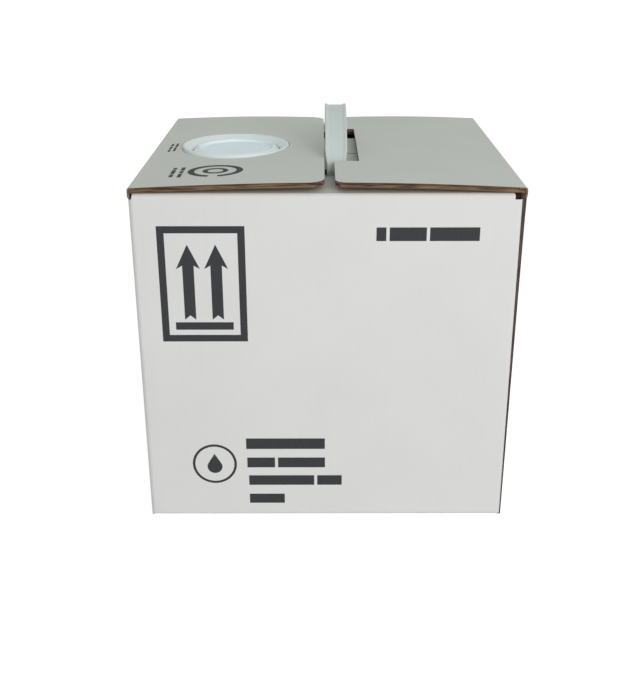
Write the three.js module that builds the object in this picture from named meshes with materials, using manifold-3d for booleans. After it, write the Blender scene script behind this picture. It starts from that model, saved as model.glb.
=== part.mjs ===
// A white corrugated carton that carries a blow-moulded plastic liner.
// The liner's screw cap stands in a round hole in one top flap, and a moulded strap handle
// rises between the two top flaps. Millimetres, +Z up, origin at the middle of the base.
// X runs left to right along the front panel, and the front panel faces -Y.
import * as THREE from "three";
import { mergeVertices } from "three/addons/utils/BufferGeometryUtils.js";
import Module from "manifold-3d";

const wasm = await Module();
wasm.setup();

// Carton, outside sizes
const cartonWidth = 298;
const cartonDepth = 286;
const wallTop = 279;
const boardThickness = 4;
const foldRadius = 3.5;
const flapLength = 143;
const touchGap = 0.3;
const seamGap = 0.6;
const cornerSlotWidth = 5.3;
const cornerSlotDepth = 4.5;
const glueTabWidth = 35;
const glueTabEndInset = 14;
const glueTabBevel = 9;

// Outer top flaps, which spring up a little towards their free edges
const leftFlapEdgeX = -2;
const rightFlapEdgeX = 6;
const flapSpringUp = 4.3;
const flapCurl = 0.9;
const flapBendSteps = 8;
const leftFlapCornerRadius = 13;
const rightFlapCornerRadius = 9;

// Round hole in the left flap, and the cap that stands in it
const capInset = 70.5;
const capCentreY = -2;
const flapHoleRadius = 46.5;
const capRadius = 37.2;
const capCrestRadius = 33.5;
const capCrestWidth = 1.6;
const capCrestBevel = 1;
const capAboveFlap = 2.2;
const capShoulderDrop = 2.6;
const capDishDepth = 2.6;
const capDishBevel = 1.4;
const capDiscThickness = 1.6;
const capSkirtThickness = 2.4;
const capSkirtLength = 16;
const sealThickness = 1.5;
const neckHoleClearance = 3;

// Ring-shaped collar that holds the neck up, in the gap between the cap and the flap's hole
const collarHoleClearance = 0.9;
const collarCapClearance = 1.2;
const collarWall = 1.4;
const collarLipDepth = 2.4;
const collarLipAboveCap = 1.9;
const collarSlopeDrop = 4.6;

// Plastic liner
const linerWall = 1.2;
const linerSideGap = 1.5;
const linerHeadroom = 8.5;
const linerEdgeRadius = 12;
const neckClearance = 1.2;
const neckWall = 2.2;
const neckBeadHeight = 1.6;
const neckBeadWidth = 0.8;
const neckBeadDrop = 5;

// Strap handle
const strapCentreX = 7.7;
const strapWidth = 18;
const strapFootWidth = 13;
const strapThickness = 3;
const strapChannelDepth = 1.5;
const strapRimWidth = 2;
const strapHalfSpan = 68;
const strapRise = 41.8;
const strapTaperLength = 12;
const strapTongueLength = 20;
const strapTongueWidth = 46;
const strapTongueThickness = 3;
const strapTongueHeel = 2;
const handSlotLeftX = -3;
const handSlotRightX = 28;
const handSlotClearance = 4.5;
const handSlotLength = 31;
const notchHalfLength = 70;

const roundSteps = 48;

// Places that follow from the sizes above
const halfWidth = cartonWidth / 2;
const halfDepth = cartonDepth / 2;
const innerHalfWidth = halfWidth - boardThickness;
const innerHalfDepth = halfDepth - boardThickness;
const innerFlapUnder = wallTop - boardThickness;
const outerFlapUnder = wallTop + touchGap;
const innerFloorUnder = boardThickness + touchGap;
const innerFloorTop = innerFloorUnder + boardThickness;
const linerBottom = innerFloorTop + touchGap;
const slottedHalfWidth = innerHalfWidth - cornerSlotWidth;
const linerTop = innerFlapUnder - linerHeadroom;
const capCentreX = capInset - halfWidth;
const capTop = outerFlapUnder + boardThickness + capAboveFlap;
const capDiscTop = capTop - capDishDepth;
const capDiscUnder = capDiscTop - capDiscThickness;
const capSkirtBottom = capDiscUnder - capSkirtLength + capDiscThickness;
const capInnerRadius = capRadius - capSkirtThickness;
const sealTop = capDiscUnder - touchGap;
const neckTop = sealTop - sealThickness - touchGap;
const neckOuterRadius = capInnerRadius - neckClearance - neckBeadWidth / 2;
const collarOuterRadius = flapHoleRadius - collarHoleClearance;
const collarInnerRadius = capRadius + collarCapClearance;
const collarTop = capTop + collarLipAboveCap;
const strapTop = wallTop + strapRise;
const tongueTop = innerFlapUnder - touchGap;
const handSlotInnerY = strapHalfSpan - handSlotClearance;
const handSlotOuterY = handSlotInnerY + handSlotLength;

const whiteBoard = { color: 0xd9dad6, roughness: 0.85, metalness: 0 };
const whitePlastic = { color: 0xdfe8ea, roughness: 0.42, metalness: 0 };
const clearPlastic = { color: 0xe6ecec, roughness: 0.5, metalness: 0 };
const foamWad = { color: 0xf0f0ec, roughness: 0.9, metalness: 0 };

// A closed mesh geometry becomes a solid that can be joined and cut.
function solid(geometry) {
  const bare = geometry.clone();
  bare.deleteAttribute("normal");
  bare.deleteAttribute("uv");
  const merged = mergeVertices(bare, 1e-4);
  const mesh = new wasm.Mesh({
    numProp: 3,
    vertProperties: new Float32Array(merged.attributes.position.array),
    triVerts: new Uint32Array(merged.index.array),
  });
  return new wasm.Manifold(mesh);
}

// A finished solid becomes a named mesh with its own material.
function part(name, body, finish) {
  const mesh = body.getMesh();
  const geometry = new THREE.BufferGeometry();
  geometry.setAttribute("position", new THREE.Float32BufferAttribute(mesh.vertProperties, 3));
  geometry.setIndex(new THREE.Uint32BufferAttribute(mesh.triVerts, 1));
  geometry.computeVertexNormals();
  const result = new THREE.Mesh(geometry, new THREE.MeshStandardMaterial(finish));
  result.name = name;
  return result;
}

function unite(bodies) {
  return bodies.reduce((joined, body) => joined.add(body));
}

function block(x0, x1, y0, y1, z0, z1) {
  const geometry = new THREE.BoxGeometry(x1 - x0, y1 - y0, z1 - z0);
  geometry.translate((x0 + x1) / 2, (y0 + y1) / 2, (z0 + z1) / 2);
  return solid(geometry);
}

// An outline in X and Y, raised from z0 to z1.
function upright(outline, z0, z1) {
  const settings = { depth: z1 - z0, bevelEnabled: false, curveSegments: 8 };
  const geometry = new THREE.ExtrudeGeometry(outline, settings);
  geometry.translate(0, 0, z0);
  return solid(geometry);
}

// An outline in X and Z, drawn from y0 back to y1.
function alongY(outline, y0, y1) {
  const settings = { depth: y1 - y0, bevelEnabled: false, curveSegments: 8 };
  const geometry = new THREE.ExtrudeGeometry(outline, settings);
  geometry.rotateX(Math.PI / 2);
  geometry.translate(0, y1, 0);
  return solid(geometry);
}

// An outline in Y and Z, drawn from x0 to x1.
function alongX(outline, x0, x1, steps = 8) {
  const settings = { depth: x1 - x0, bevelEnabled: false, curveSegments: steps };
  const geometry = new THREE.ExtrudeGeometry(outline, settings);
  geometry.rotateY(Math.PI / 2);
  geometry.rotateX(Math.PI / 2);
  geometry.translate(x0, 0, 0);
  return solid(geometry);
}

function turned(points, centreX, centreY) {
  const profile = points.map(([r, z]) => new THREE.Vector2(r, z));
  const geometry = new THREE.LatheGeometry(profile, roundSteps);
  geometry.rotateX(Math.PI / 2);
  geometry.translate(centreX, centreY, 0);
  return solid(geometry);
}

function disc(radius, z0, z1, centreX, centreY) {
  const geometry = new THREE.CylinderGeometry(radius, radius, z1 - z0, roundSteps);
  geometry.rotateX(Math.PI / 2);
  geometry.translate(centreX, centreY, (z0 + z1) / 2);
  return solid(geometry);
}

// A rectangle with its own radius at each corner: x0y0, x1y0, x1y1, x0y1.
function roundedOutline(x0, x1, y0, y1, [r00, r10, r11, r01]) {
  const shape = new THREE.Shape();
  shape.moveTo(x0 + r00, y0);
  shape.lineTo(x1 - r10, y0);
  if (r10 > 0) shape.absarc(x1 - r10, y0 + r10, r10, -Math.PI / 2, 0, false);
  shape.lineTo(x1, y1 - r11);
  if (r11 > 0) shape.absarc(x1 - r11, y1 - r11, r11, 0, Math.PI / 2, false);
  shape.lineTo(x0 + r01, y1);
  if (r01 > 0) shape.absarc(x0 + r01, y1 - r01, r01, Math.PI / 2, Math.PI, false);
  shape.lineTo(x0, y0 + r00);
  if (r00 > 0) shape.absarc(x0 + r00, y0 + r00, r00, Math.PI, 1.5 * Math.PI, false);
  return shape;
}

// The sliver of material outside a rounded fold, for cutting away. The fold's corner is at
// (corner, edge), and the board lies towards inwards (in Y) and towards downwards (in Z).
function foldSliver(corner, edge, inwards, downwards, radius) {
  const shape = new THREE.Shape();
  const centre = [corner + inwards * radius, edge + downwards * radius];
  const over = radius / 2;
  shape.moveTo(corner - inwards * over, edge - downwards * over);
  shape.lineTo(centre[0], edge - downwards * over);
  shape.lineTo(centre[0], edge);
  const steps = 6;
  for (let i = 1; i <= steps; i += 1) {
    const angle = (i / steps) * (Math.PI / 2);
    const across = centre[0] - inwards * radius * Math.sin(angle);
    const up = centre[1] - downwards * radius * Math.cos(angle);
    shape.lineTo(across, up);
  }
  shape.lineTo(corner - inwards * over, centre[1]);
  shape.closePath();
  return shape;
}

// The four panels, the glue tab, the four bottom flaps and the two inner top flaps are one
// folded and glued sheet.
function cartonBody() {
  const folds = [foldRadius, foldRadius, foldRadius, foldRadius];
  const outside = roundedOutline(-halfWidth, halfWidth, -halfDepth, halfDepth, folds);
  const walls = upright(outside, 0, wallTop).subtract(
    block(-innerHalfWidth, innerHalfWidth, -innerHalfDepth, innerHalfDepth, -1, wallTop + 1),
  );
  const sheet = [walls];
  const reach = halfDepth - flapLength + seamGap / 2;
  for (const side of [-1, 1]) {
    const seam = side * reach;
    const wall = side * innerHalfDepth;
    const [y0, y1] = side < 0 ? [wall - 1, seam] : [seam, wall + 1];
    const floorHalfWidth = innerHalfWidth - touchGap;
    sheet.push(block(-floorHalfWidth, floorHalfWidth, y0, y1, 0, boardThickness));
    sheet.push(block(-slottedHalfWidth, slottedHalfWidth, y0, y1, innerFlapUnder, wallTop));
    const freeEdge = side * (halfWidth - flapLength);
    const [x0, x1] = side < 0 ? [-innerHalfWidth - 1, freeEdge] : [freeEdge, innerHalfWidth + 1];
    const flapDepth = innerHalfDepth - touchGap;
    sheet.push(block(x0, x1, -flapDepth, flapDepth, innerFloorUnder, innerFloorTop));
  }
  sheet.push(glueTab());
  let body = unite(sheet);
  const cuts = [];
  for (const side of [-1, 1]) {
    const corner = side * halfDepth;
    cuts.push(alongX(foldSliver(corner, wallTop, -side, -1, foldRadius), -halfWidth - 1, halfWidth + 1));
    cuts.push(alongX(foldSliver(corner, 0, -side, 1, foldRadius), -halfWidth - 1, halfWidth + 1));
    const slotTop = wallTop + 1;
    const slotBottom = wallTop - cornerSlotDepth;
    const [y0, y1] = side < 0 ? [-halfDepth - 1, -innerHalfDepth] : [innerHalfDepth, halfDepth + 1];
    cuts.push(block(slottedHalfWidth, innerHalfWidth, y0, y1, slotBottom, slotTop));
    cuts.push(block(-innerHalfWidth, -slottedHalfWidth, y0, y1, slotBottom, slotTop));
    const [s0, s1] = side < 0 ? [-handSlotOuterY, -handSlotInnerY] : [handSlotInnerY, handSlotOuterY];
    cuts.push(block(handSlotLeftX, handSlotRightX, s0, s1, innerFlapUnder - 1, wallTop + 1));
  }
  const neckHole = capRadius + neckHoleClearance;
  cuts.push(disc(neckHole, innerFlapUnder - 1, wallTop + 1, capCentreX, capCentreY));
  body = body.subtract(unite(cuts));
  return part("carton_body", body, whiteBoard);
}

// The tab that joins the sheet's ends is glued inside the right panel, with bevelled ends.
function glueTab() {
  const inner = -innerHalfDepth - 1;
  const outer = -innerHalfDepth + glueTabWidth;
  const low = innerFloorTop + glueTabEndInset;
  const high = innerFlapUnder - glueTabEndInset;
  const shape = new THREE.Shape();
  shape.moveTo(inner, low - glueTabBevel);
  shape.lineTo(outer, low);
  shape.lineTo(outer, high);
  shape.lineTo(inner, high + glueTabBevel);
  shape.closePath();
  return alongX(shape, innerHalfWidth - boardThickness, innerHalfWidth + 1);
}

// An outer top flap seen from the front: flat on the wall at its fold, then sprung up in a
// shallow curve to its free edge. foldX is the fold's end and edgeX the free edge.
function flapSection(foldX, edgeX) {
  const along = (t) => foldX + (edgeX - foldX) * t;
  const rise = (t) => flapSpringUp * (flapCurl * (1 - (1 - t) ** 2) + (1 - flapCurl) * t);
  const shape = new THREE.Shape();
  shape.moveTo(along(0), outerFlapUnder);
  for (let i = 1; i <= flapBendSteps; i += 1) {
    const t = i / flapBendSteps;
    shape.lineTo(along(t), outerFlapUnder + rise(t));
  }
  for (let i = flapBendSteps; i >= 0; i -= 1) {
    const t = i / flapBendSteps;
    shape.lineTo(along(t), outerFlapUnder + boardThickness + rise(t));
  }
  shape.closePath();
  return shape;
}

const flapLow = outerFlapUnder - 1;
const flapHigh = outerFlapUnder + boardThickness + flapSpringUp + 1;

function leftTopFlap() {
  const foldX = -halfWidth + touchGap;
  const radius = leftFlapCornerRadius;
  const plan = roundedOutline(foldX, leftFlapEdgeX, -halfDepth, halfDepth, [0, radius, radius, 0]);
  const sheet = alongY(flapSection(foldX, leftFlapEdgeX), -halfDepth, halfDepth);
  const body = sheet
    .intersect(upright(plan, flapLow, flapHigh))
    .subtract(disc(flapHoleRadius, flapLow, flapHigh, capCentreX, capCentreY));
  return part("left_top_flap", body, whiteBoard);
}

// The right flap is notched at its free edge, to let the hand in under the strap.
function rightTopFlap() {
  const foldX = halfWidth - touchGap;
  const radius = rightFlapCornerRadius;
  const plan = roundedOutline(rightFlapEdgeX, foldX, -halfDepth, halfDepth, [radius, 0, 0, radius]);
  const sheet = alongY(flapSection(foldX, rightFlapEdgeX), -halfDepth, halfDepth);
  const notchY = notchHalfLength;
  const notch = block(rightFlapEdgeX - 1, handSlotRightX, -notchY, notchY, flapLow, flapHigh);
  const body = sheet.intersect(upright(plan, flapLow, flapHigh)).subtract(notch);
  return part("right_top_flap", body, whiteBoard);
}

// A box with all its edges rounded, from the liner's outside taken in by inset.
function softBox(inset) {
  const radius = linerEdgeRadius - inset;
  const x = innerHalfWidth - linerSideGap - inset;
  const y = innerHalfDepth - linerSideGap - inset;
  const low = linerBottom + inset;
  const high = linerTop - inset;
  const shape = roundedOutline(-x + radius, x - radius, -y + radius, y - radius, [1, 1, 1, 1]);
  const geometry = new THREE.ExtrudeGeometry(shape, {
    depth: high - low - 2 * radius,
    bevelEnabled: true,
    bevelThickness: radius,
    bevelSize: radius,
    bevelSegments: 5,
    curveSegments: 2,
  });
  geometry.translate(0, 0, low + radius);
  return solid(geometry);
}

// The blow-moulded liner fills the carton and ends in an open neck under the cap. A glued
// tab stands in one corner of the carton, so the liner is pressed in there.
function liner() {
  const dent = (inset) => block(
    innerHalfWidth - boardThickness - linerSideGap - inset,
    halfWidth,
    -halfDepth,
    -innerHalfDepth + glueTabWidth + linerSideGap + inset,
    0,
    wallTop,
  );
  const outside = softBox(0).subtract(dent(0));
  const inside = softBox(linerWall).subtract(dent(linerWall));
  const neck = disc(neckOuterRadius, linerTop - linerWall, neckTop, capCentreX, capCentreY);
  const beadTop = neckTop - neckBeadDrop;
  const beadRadius = neckOuterRadius + neckBeadWidth;
  const bead = disc(beadRadius, beadTop - neckBeadHeight, beadTop, capCentreX, capCentreY);
  const mouthRadius = neckOuterRadius - neckWall;
  const mouth = disc(mouthRadius, linerTop - 2 * linerWall, neckTop + 1, capCentreX, capCentreY);
  const body = unite([outside, neck, bead]).subtract(inside).subtract(mouth);
  return part("liner", body, clearPlastic);
}

function capSealDisc() {
  const radius = capInnerRadius - touchGap;
  const body = disc(radius, sealTop - sealThickness, sealTop, capCentreX, capCentreY);
  return part("cap_seal_disc", body, foamWad);
}

// The cap has a sloping shoulder, a narrow crest and a dished top.
function screwCap() {
  const crestInner = capCrestRadius - capCrestWidth;
  const body = turned([
    [0, capDiscUnder],
    [capInnerRadius, capDiscUnder],
    [capInnerRadius, capSkirtBottom],
    [capRadius, capSkirtBottom],
    [capRadius, capTop - capShoulderDrop],
    [capCrestRadius + capCrestBevel, capTop],
    [crestInner, capTop],
    [crestInner - capDishBevel, capDiscTop],
    [0, capDiscTop],
  ], capCentreX, capCentreY);
  return part("screw_cap", body, whitePlastic);
}

// The collar is a thin moulded ring that rests on the inner flaps. A narrow lip stands just
// proud of the flap's hole, and the top slopes down from it to the cap's shoulder.
function neckCollar() {
  const foot = wallTop + touchGap;
  const lipInner = collarOuterRadius - collarWall;
  const innerOutside = collarInnerRadius + collarWall;
  const low = collarTop - collarSlopeDrop;
  const body = turned([
    [collarOuterRadius, foot],
    [collarOuterRadius, collarTop],
    [lipInner, collarTop],
    [collarInnerRadius, low],
    [collarInnerRadius, foot],
    [innerOutside, foot],
    [innerOutside, low - collarWall],
    [lipInner, collarTop - collarLipDepth],
    [lipInner, foot],
    [collarOuterRadius, foot],
  ], capCentreX, capCentreY);
  return part("neck_collar", body, whitePlastic);
}

// The band of a strap between two arcs of one centre, seen from the side, with straight
// legs down to the given height.
function archBand(outerRadius, innerRadius, centreZ, legBottom) {
  const steps = 28;
  const shape = new THREE.Shape();
  const halfAngle = (radius) => Math.acos((wallTop - centreZ) / radius);
  const outerAngle = halfAngle(outerRadius);
  const innerAngle = halfAngle(innerRadius);
  shape.moveTo(outerRadius * Math.sin(outerAngle), legBottom);
  for (let i = 0; i <= steps; i += 1) {
    const angle = outerAngle * (1 - (2 * i) / steps);
    shape.lineTo(outerRadius * Math.sin(angle), centreZ + outerRadius * Math.cos(angle));
  }
  shape.lineTo(-outerRadius * Math.sin(outerAngle), legBottom);
  shape.lineTo(-innerRadius * Math.sin(innerAngle), legBottom);
  for (let i = steps; i >= 0; i -= 1) {
    const angle = innerAngle * (1 - (2 * i) / steps);
    shape.lineTo(innerRadius * Math.sin(angle), centreZ + innerRadius * Math.cos(angle));
  }
  shape.lineTo(innerRadius * Math.sin(innerAngle), legBottom);
  shape.closePath();
  return shape;
}

// The strap is one moulding: an arched band with raised rims, narrower at its ends, whose
// legs pass through the hand slots and end in cross tongues under the inner flaps.
function strapHandle() {
  const rise = strapTop - wallTop;
  const outerRadius = (strapHalfSpan ** 2 + rise ** 2) / (2 * rise);
  const centreZ = strapTop - outerRadius;
  const innerRadius = outerRadius - strapThickness;
  const tongueBottom = tongueTop - strapTongueThickness;
  const left = strapCentreX - strapWidth / 2;
  const right = strapCentreX + strapWidth / 2;
  const band = alongX(archBand(outerRadius, innerRadius, centreZ, tongueBottom), left, right);
  const channelRadius = outerRadius + strapThickness;
  const channel = alongX(
    archBand(channelRadius, outerRadius - strapChannelDepth, centreZ, wallTop),
    left + strapRimWidth,
    right - strapRimWidth,
  );
  const plan = new THREE.Shape();
  const far = strapHalfSpan + strapThickness + strapTongueLength;
  const near = strapHalfSpan - strapTaperLength;
  const foot = strapFootWidth / 2;
  const wide = strapWidth / 2;
  plan.moveTo(strapCentreX - foot, -far);
  plan.lineTo(strapCentreX + foot, -far);
  plan.lineTo(strapCentreX + foot, -strapHalfSpan);
  plan.lineTo(strapCentreX + wide, -near);
  plan.lineTo(strapCentreX + wide, near);
  plan.lineTo(strapCentreX + foot, strapHalfSpan);
  plan.lineTo(strapCentreX + foot, far);
  plan.lineTo(strapCentreX - foot, far);
  plan.lineTo(strapCentreX - foot, strapHalfSpan);
  plan.lineTo(strapCentreX - wide, near);
  plan.lineTo(strapCentreX - wide, -near);
  plan.lineTo(strapCentreX - foot, -strapHalfSpan);
  plan.closePath();
  let body = band.subtract(channel).intersect(upright(plan, tongueBottom - 1, strapTop + 1));
  const tongueHalf = strapTongueWidth / 2;
  const tongueInner = strapHalfSpan - strapThickness - strapTongueHeel;
  for (const side of [-1, 1]) {
    const ends = [side * tongueInner, side * (tongueInner + strapTongueLength)].sort((a, b) => a - b);
    const tongue = block(
      strapCentreX - tongueHalf,
      strapCentreX + tongueHalf,
      ends[0],
      ends[1],
      tongueBottom,
      tongueTop,
    );
    body = body.add(tongue);
  }
  return part("strap_handle", body, whitePlastic);
}

const carton = new THREE.Group();
carton.add(cartonBody());
carton.add(leftTopFlap());
carton.add(rightTopFlap());
carton.add(liner());
carton.add(neckCollar());
carton.add(capSealDisc());
carton.add(screwCap());
carton.add(strapHandle());

export default carton;
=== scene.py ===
# %% [markdown]
# A white corrugated carton with a plastic liner inside. The measured solids come first as a
# fixed frame, and everything below is shaped and placed from their boxes. Lengths are in
# metres, X runs along the front panel, Y runs from the front to the back, and Z is up.

# %% Load the frame
import math

import bmesh
import bpy
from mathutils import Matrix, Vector, noise


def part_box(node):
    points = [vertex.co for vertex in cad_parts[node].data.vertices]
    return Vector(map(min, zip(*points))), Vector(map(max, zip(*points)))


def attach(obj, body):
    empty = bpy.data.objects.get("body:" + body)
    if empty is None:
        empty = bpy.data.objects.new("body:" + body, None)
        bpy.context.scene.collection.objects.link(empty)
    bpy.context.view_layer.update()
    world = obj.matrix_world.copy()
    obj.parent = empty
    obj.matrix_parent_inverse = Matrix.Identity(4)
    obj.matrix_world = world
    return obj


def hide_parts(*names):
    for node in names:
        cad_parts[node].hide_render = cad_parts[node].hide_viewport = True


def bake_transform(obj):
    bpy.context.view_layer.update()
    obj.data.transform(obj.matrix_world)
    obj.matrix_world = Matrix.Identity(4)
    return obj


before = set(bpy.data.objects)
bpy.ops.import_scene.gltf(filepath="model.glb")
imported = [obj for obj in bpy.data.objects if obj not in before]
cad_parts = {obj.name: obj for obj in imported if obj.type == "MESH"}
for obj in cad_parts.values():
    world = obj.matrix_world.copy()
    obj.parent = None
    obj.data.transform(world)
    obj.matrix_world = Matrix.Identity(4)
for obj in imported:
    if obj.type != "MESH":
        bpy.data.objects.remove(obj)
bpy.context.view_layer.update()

MM = 0.001
scene = bpy.context.scene

# %% Measure the boxes that the pieces follow
_, body_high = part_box("carton_body")
left_low, left_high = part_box("left_top_flap")
right_low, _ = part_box("right_top_flap")
cap_low, cap_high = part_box("screw_cap")
strap_low, strap_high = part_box("strap_handle")
liner_low, liner_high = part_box("liner")

HALF_W = body_high[0]
HALF_D = body_high[1]
WALL_TOP = body_high[2]
BOARD = 4 * MM
CAP_X = (cap_low[0] + cap_high[0]) / 2
CAP_Y = (cap_low[1] + cap_high[1]) / 2
CAP_R = (cap_high[0] - cap_low[0]) / 2
FLAP_UNDER = left_low[2]
SPRING_UP = left_high[2] - left_low[2] - BOARD
print("carton", HALF_W * 2, HALF_D * 2, WALL_TOP, "spring", SPRING_UP)

# %% [markdown]
# The camera comes before anything is made. Its height, tilt and focal length were fitted to
# the carton's corners, so the rest of the work can be compared with the photograph.

# %% Camera
CAMERA_PLACE = (-0.00445, -0.86479, 0.46423)
CAMERA_TILT_DOWN = 22.623
CAMERA_ROLL = 0.077
FOCAL_PIXELS = 993.19
IMAGE_HEIGHT = 675
SENSOR = 36.0


def make_camera():
    data = bpy.data.cameras.new("camera")
    data.sensor_fit = "VERTICAL"
    data.sensor_height = SENSOR
    data.lens = SENSOR * FOCAL_PIXELS / IMAGE_HEIGHT
    camera = bpy.data.objects.new("camera", data)
    camera.location = CAMERA_PLACE
    tilt = math.radians(90 - CAMERA_TILT_DOWN)
    camera.rotation_euler = (tilt, math.radians(CAMERA_ROLL), 0)
    scene.collection.objects.link(camera)
    scene.camera = camera
    return data.lens


print("lens", round(make_camera(), 2), "mm")

# %% [markdown]
# Every piece is made as a plain mesh at the origin, with its place in its points. These
# helpers keep that habit in one spot: a piece from points and faces, a prism from outlines,
# a cut by another shape, faces turned outwards, and the points of circles, arcs and boxes.

# %% Mesh helpers
TOUCHING = 1e-7
SLIVER = 1e-6
MOSTLY = 0.7


def new_piece(name, verts, faces, materials, smooth=True):
    mesh = bpy.data.meshes.new(name)
    mesh.from_pydata([tuple(v) for v in verts], [], faces)
    for material in materials:
        mesh.materials.append(material)
    obj = bpy.data.objects.new(name, mesh)
    scene.collection.objects.link(obj)
    if smooth:
        for polygon in mesh.polygons:
            polygon.use_smooth = True
    return obj


def apply_modifiers(obj):
    """The evaluated mesh takes the place of the mesh, and the modifiers go."""
    depsgraph = bpy.context.evaluated_depsgraph_get()
    mesh = bpy.data.meshes.new_from_object(obj.evaluated_get(depsgraph))
    obj.modifiers.clear()
    old = obj.data
    obj.data = mesh
    bpy.data.meshes.remove(old)
    return obj


def face_outwards(mesh, merge=0.0, slivers=False):
    """Merges points that touch and drops slivers if asked, and turns every face outwards."""
    build = bmesh.new()
    build.from_mesh(mesh)
    if merge:
        bmesh.ops.remove_doubles(build, verts=build.verts, dist=merge)
    if slivers:
        bmesh.ops.dissolve_degenerate(build, edges=build.edges, dist=merge)
    bmesh.ops.recalc_face_normals(build, faces=build.faces)
    build.to_mesh(mesh)
    build.free()


def prism(name, outlines, z0, z1, materials):
    """Closed outlines in X and Y, raised from z0 to z1, with holes where they overlap."""
    curve = bpy.data.curves.new(name, "CURVE")
    curve.dimensions = "2D"
    curve.fill_mode = "BOTH"
    curve.extrude = (z1 - z0) / 2
    for outline in outlines:
        spline = curve.splines.new("POLY")
        spline.points.add(len(outline) - 1)
        for point, (x, y) in zip(spline.points, outline):
            point.co = (x, y, 0, 1)
        spline.use_cyclic_u = True
    holder = bpy.data.objects.new(name, curve)
    scene.collection.objects.link(holder)
    bpy.context.view_layer.update()
    depsgraph = bpy.context.evaluated_depsgraph_get()
    mesh = bpy.data.meshes.new_from_object(holder.evaluated_get(depsgraph))
    bpy.data.objects.remove(holder)
    middle = (z0 + z1) / 2
    for vertex in mesh.vertices:
        vertex.co.z += middle
    face_outwards(mesh, TOUCHING)
    mesh.materials.clear()
    for material in materials:
        mesh.materials.append(material)
    obj = bpy.data.objects.new(name, mesh)
    scene.collection.objects.link(obj)
    return obj


def boolean(obj, tool, operation, keep_tool=False):
    modifier = obj.modifiers.new("cut", "BOOLEAN")
    modifier.operation = operation
    modifier.solver = "EXACT"
    modifier.object = tool
    bpy.context.view_layer.update()
    apply_modifiers(obj)
    if not keep_tool:
        bpy.data.objects.remove(tool)
    return obj


SHARP = 35


def crease(obj, degrees=SHARP):
    """Smooth shading that stops at edges sharper than the given angle."""
    build = bmesh.new()
    build.from_mesh(obj.data)
    for face in build.faces:
        face.smooth = True
    for edge in build.edges:
        if len(edge.link_faces) == 2:
            edge.smooth = edge.calc_face_angle(0) < math.radians(degrees)
    build.to_mesh(obj.data)
    build.free()
    return obj


def circle_outline(cx, cy, radius, steps=96):
    turns = [2 * math.pi * i / steps for i in range(steps)]
    return [(cx + radius * math.cos(t), cy + radius * math.sin(t)) for t in turns]


def arc_points(cx, cy, radius, start, end, steps):
    """Points of an arc from one angle to another, in degrees."""
    points = []
    for i in range(steps + 1):
        t = math.radians(start + (end - start) * i / steps)
        points.append((cx + radius * math.cos(t), cy + radius * math.sin(t)))
    return points


def box_outline(x0, x1, y0, y1):
    return [(x0, y0), (x1, y0), (x1, y1), (x0, y1)]


print("helpers ready")

# %% [markdown]
# Paper isn't a flat colour. White-lined board has a faint cloudy tone, fine fibres, and a
# washboard of shallow lines where the flutes show through. The washboard is a bump, and its lines
# are also painted into the colour as painted light and shade. Several materials need that, so
# it is one shader group with named inputs, placed in each material with its own values.

# %% Shader group for paper


def add_node(tree, kind, **settings):
    node = tree.nodes.new(kind)
    for key, value in settings.items():
        setattr(node, key, value)
    return node


def group_socket(tree, name, kind, way="INPUT", default=None):
    socket = tree.interface.new_socket(name=name, in_out=way, socket_type=kind)
    if default is not None:
        socket.default_value = default
    return socket


def feed(tree, node, values):
    """Sets a node's inputs, each from another node's output or to a plain value."""
    for key, value in values.items():
        if isinstance(value, bpy.types.NodeSocket):
            tree.links.new(value, node.inputs[key])
        elif value is not None:
            node.inputs[key].default_value = value
    return node


def fed_node(tree, kind, values, **settings):
    return feed(tree, add_node(tree, kind, **settings), values)


def math_node(tree, operation, a, b=None, clamp=False):
    values = {0: a, 1: b}
    node = fed_node(tree, "ShaderNodeMath", values, operation=operation, use_clamp=clamp)
    return node.outputs[0]


def mix_color(tree, factor, a, b):
    values = {0: factor, 6: a, 7: b}
    return fed_node(tree, "ShaderNodeMix", values, data_type="RGBA").outputs[2]


def noise_node(tree, vector, scale, detail=2):
    values = {"Vector": vector, "Scale": scale, "Detail": detail}
    return fed_node(tree, "ShaderNodeTexNoise", values).outputs["Fac"]


CLOUD_SCALE = 14
FIBRE_SCALE = 900
CLOUD_SHARE = 0.8
FIBRE_SHARE = 0.25
FLUTE_SHADE_SHARE = 0.22
PAPER_ROUGHNESS = 0.68


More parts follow.
